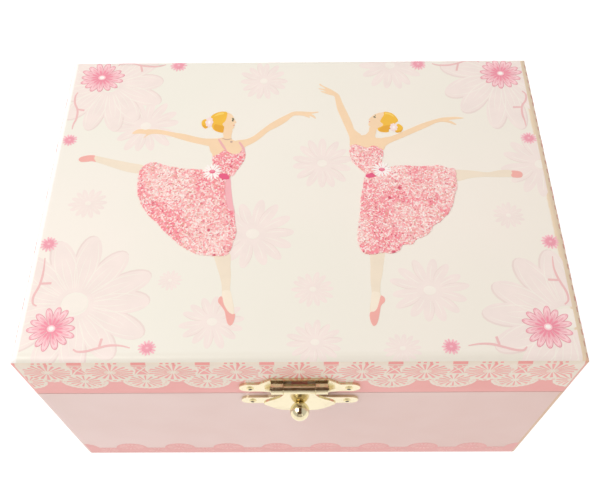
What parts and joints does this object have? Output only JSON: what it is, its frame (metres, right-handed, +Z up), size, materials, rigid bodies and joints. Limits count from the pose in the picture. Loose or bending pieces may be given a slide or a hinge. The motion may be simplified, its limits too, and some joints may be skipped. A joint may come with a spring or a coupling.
{
  "type": "musical jewellery box",
  "caption": "Small paper-covered musical jewellery box with hinged lid, front hasp, lined compartments, key-wound music movement and a spring-mounted dancer that folds under the lid.",
  "frame": {"origin": "centre of the resting face, on the underside of the base felt", "axes": "+X to the right seen from the front, -Y towards the viewer and the latch, +Y towards the hinges and winding key, +Z up"},
  "size_m": [0.155, 0.1362, 0.0853],
  "materials": {
    "fibreboard": "raw fibreboard, matt",
    "printed_paper_pink": "printed paper, satin varnish",
    "printed_paper_ivory": "printed paper, satin varnish",
    "rose_felt": "felt",
    "pink_satin": "satin glued on card",
    "quilted_satin": "padded satin",
    "velvet": "velvet over foam",
    "mirror_glass": "silvered glass",
    "pale_brass": "pale brass plating, polished",
    "zinc_casting": "cast and plated, satin",
    "steel_screws": "bright steel",
    "brass_wheels": "satin brass",
    "spring_steel": "bright steel",
    "nylon": "moulded",
    "white_plastic": "moulded, glossy",
    "painted_doll": "moulded and painted",
    "tulle": "gathered tulle"
  },
  "bodies": {
    "case": {"case_front_board": "fibreboard", "case_back_board": "fibreboard", "case_left_board": "fibreboard", "case_right_board": "fibreboard", "case_base_board": "fibreboard", "case_wrap": "printed_paper_pink", "base_felt": "rose_felt", "lining_front": "pink_satin", "lining_back": "pink_satin", "lining_left": "pink_satin", "lining_right": "pink_satin", "floor_pad": "quilted_satin", "deck_top": "pink_satin", "deck_riser": "pink_satin", "compartment_divider": "pink_satin", "ring_roll_base": "pink_satin", "ring_rolls": "velvet", "hinge_case_leaves": "pale_brass", "hinge_pins": "pale_brass", "hinge_case_nails": "pale_brass", "latch_case_plate": "pale_brass", "latch_case_nails": "pale_brass", "movement_frame": "zinc_casting", "movement_screws": "steel_screws", "key_eyelet": "pale_brass", "tuned_comb": "spring_steel", "comb_screws": "steel_screws", "governor_bracket": "zinc_casting", "deck_bush": "nylon"},
    "lid": {"lid_top_board": "fibreboard", "lid_front_board": "fibreboard", "lid_back_board": "fibreboard", "lid_left_board": "fibreboard", "lid_right_board": "fibreboard", "lid_wrap": "printed_paper_ivory", "lid_lining": "pink_satin", "mirror_frame": "pink_satin", "mirror": "mirror_glass", "hinge_lid_leaves": "pale_brass", "hinge_lid_nails": "pale_brass", "latch_lid_plate": "pale_brass", "latch_pin": "pale_brass", "latch_lid_nails": "pale_brass"},
    "hasp": {"latch_hasp": "pale_brass", "latch_ball": "pale_brass"},
    "barrel": {"spring_barrel": "brass_wheels", "great_wheel": "brass_wheels", "mainspring": "spring_steel"},
    "winding": {"winding_arbor": "spring_steel", "winding_key": "pale_brass"},
    "cylinder": {"music_cylinder": "brass_wheels", "drum_arbor": "spring_steel", "turntable": "white_plastic"},
    "intermediate": {"intermediate_wheel": "brass_wheels"},
    "governor": {"governor_worm": "nylon"},
    "stop": {"stop_rod": "spring_steel"},
    "dancer_mount": {"dancer_spring": "spring_steel", "dancer_plug": "white_plastic"},
    "dancer": {"dancer_figure": "painted_doll", "dancer_tutu": "tulle"}
  },
  "joints": [
    {"name": "lid_open", "type": "hinge", "parent": "case", "child": "lid", "pos_m": [0, 0.0577, 0.06265], "axis": [-1, 0, 0], "range_deg": [0, 100]},
    {"name": "hasp_swing", "type": "hinge", "parent": "lid", "child": "hasp", "pos_m": [0, -0.0577, 0.0714], "axis": [-1, 0, 0], "range_deg": [0, 125]},
    {"name": "winding_key_turn", "type": "hinge", "parent": "case", "child": "winding", "pos_m": [0, 0.06, 0.0185], "axis": [0, 1, 0], "continuous": true},
    {"name": "cylinder_spin", "type": "hinge", "parent": "case", "child": "cylinder", "pos_m": [0, 0.0421, 0.04], "axis": [0, 0, 1], "continuous": true},
    {"name": "barrel_spin", "type": "hinge", "parent": "case", "child": "barrel", "pos_m": [0, 0.0452, 0.0185], "axis": [0, 1, 0], "continuous": true},
    {"name": "intermediate_spin", "type": "hinge", "parent": "case", "child": "intermediate", "pos_m": [-0.00945, 0.0421, 0.032], "axis": [0, 0, 1], "continuous": true},
    {"name": "governor_spin", "type": "hinge", "parent": "case", "child": "governor", "pos_m": [-0.01443, 0.0421, 0.0309], "axis": [0, 1, 0], "continuous": true},
    {"name": "stop_lift", "type": "slide", "parent": "case", "child": "stop", "axis": [0, 0, 1], "range_m": [0, 0.003]},
    {"name": "dancer_fold", "type": "hinge", "parent": "case", "child": "dancer_mount", "pos_m": [0, 0.0421, 0.0597], "axis": [-1, 0, 0], "range_deg": [0, 84], "deforming": ["dancer_spring"]},
    {"name": "dancer_spin", "type": "hinge", "parent": "dancer_mount", "child": "dancer", "pos_m": [0, 0.0421, 0.0597], "axis": [0, -0.9945, 0.1045], "continuous": true}
  ],
  "couplings": [
    {"joint": "barrel_spin", "follows": "cylinder_spin", "ratio": -0.25},
    {"joint": "intermediate_spin", "follows": "cylinder_spin", "ratio": -4},
    {"joint": "governor_spin", "follows": "cylinder_spin", "ratio": -72},
    {"joint": "dancer_spin", "follows": "cylinder_spin", "ratio": 1},
    {"joint": "dancer_fold", "follows": "lid_open", "ratio": 0.84},
    {"joint": "stop_lift", "follows": "lid_open", "m_per_rad": 0.001718}
  ]
}
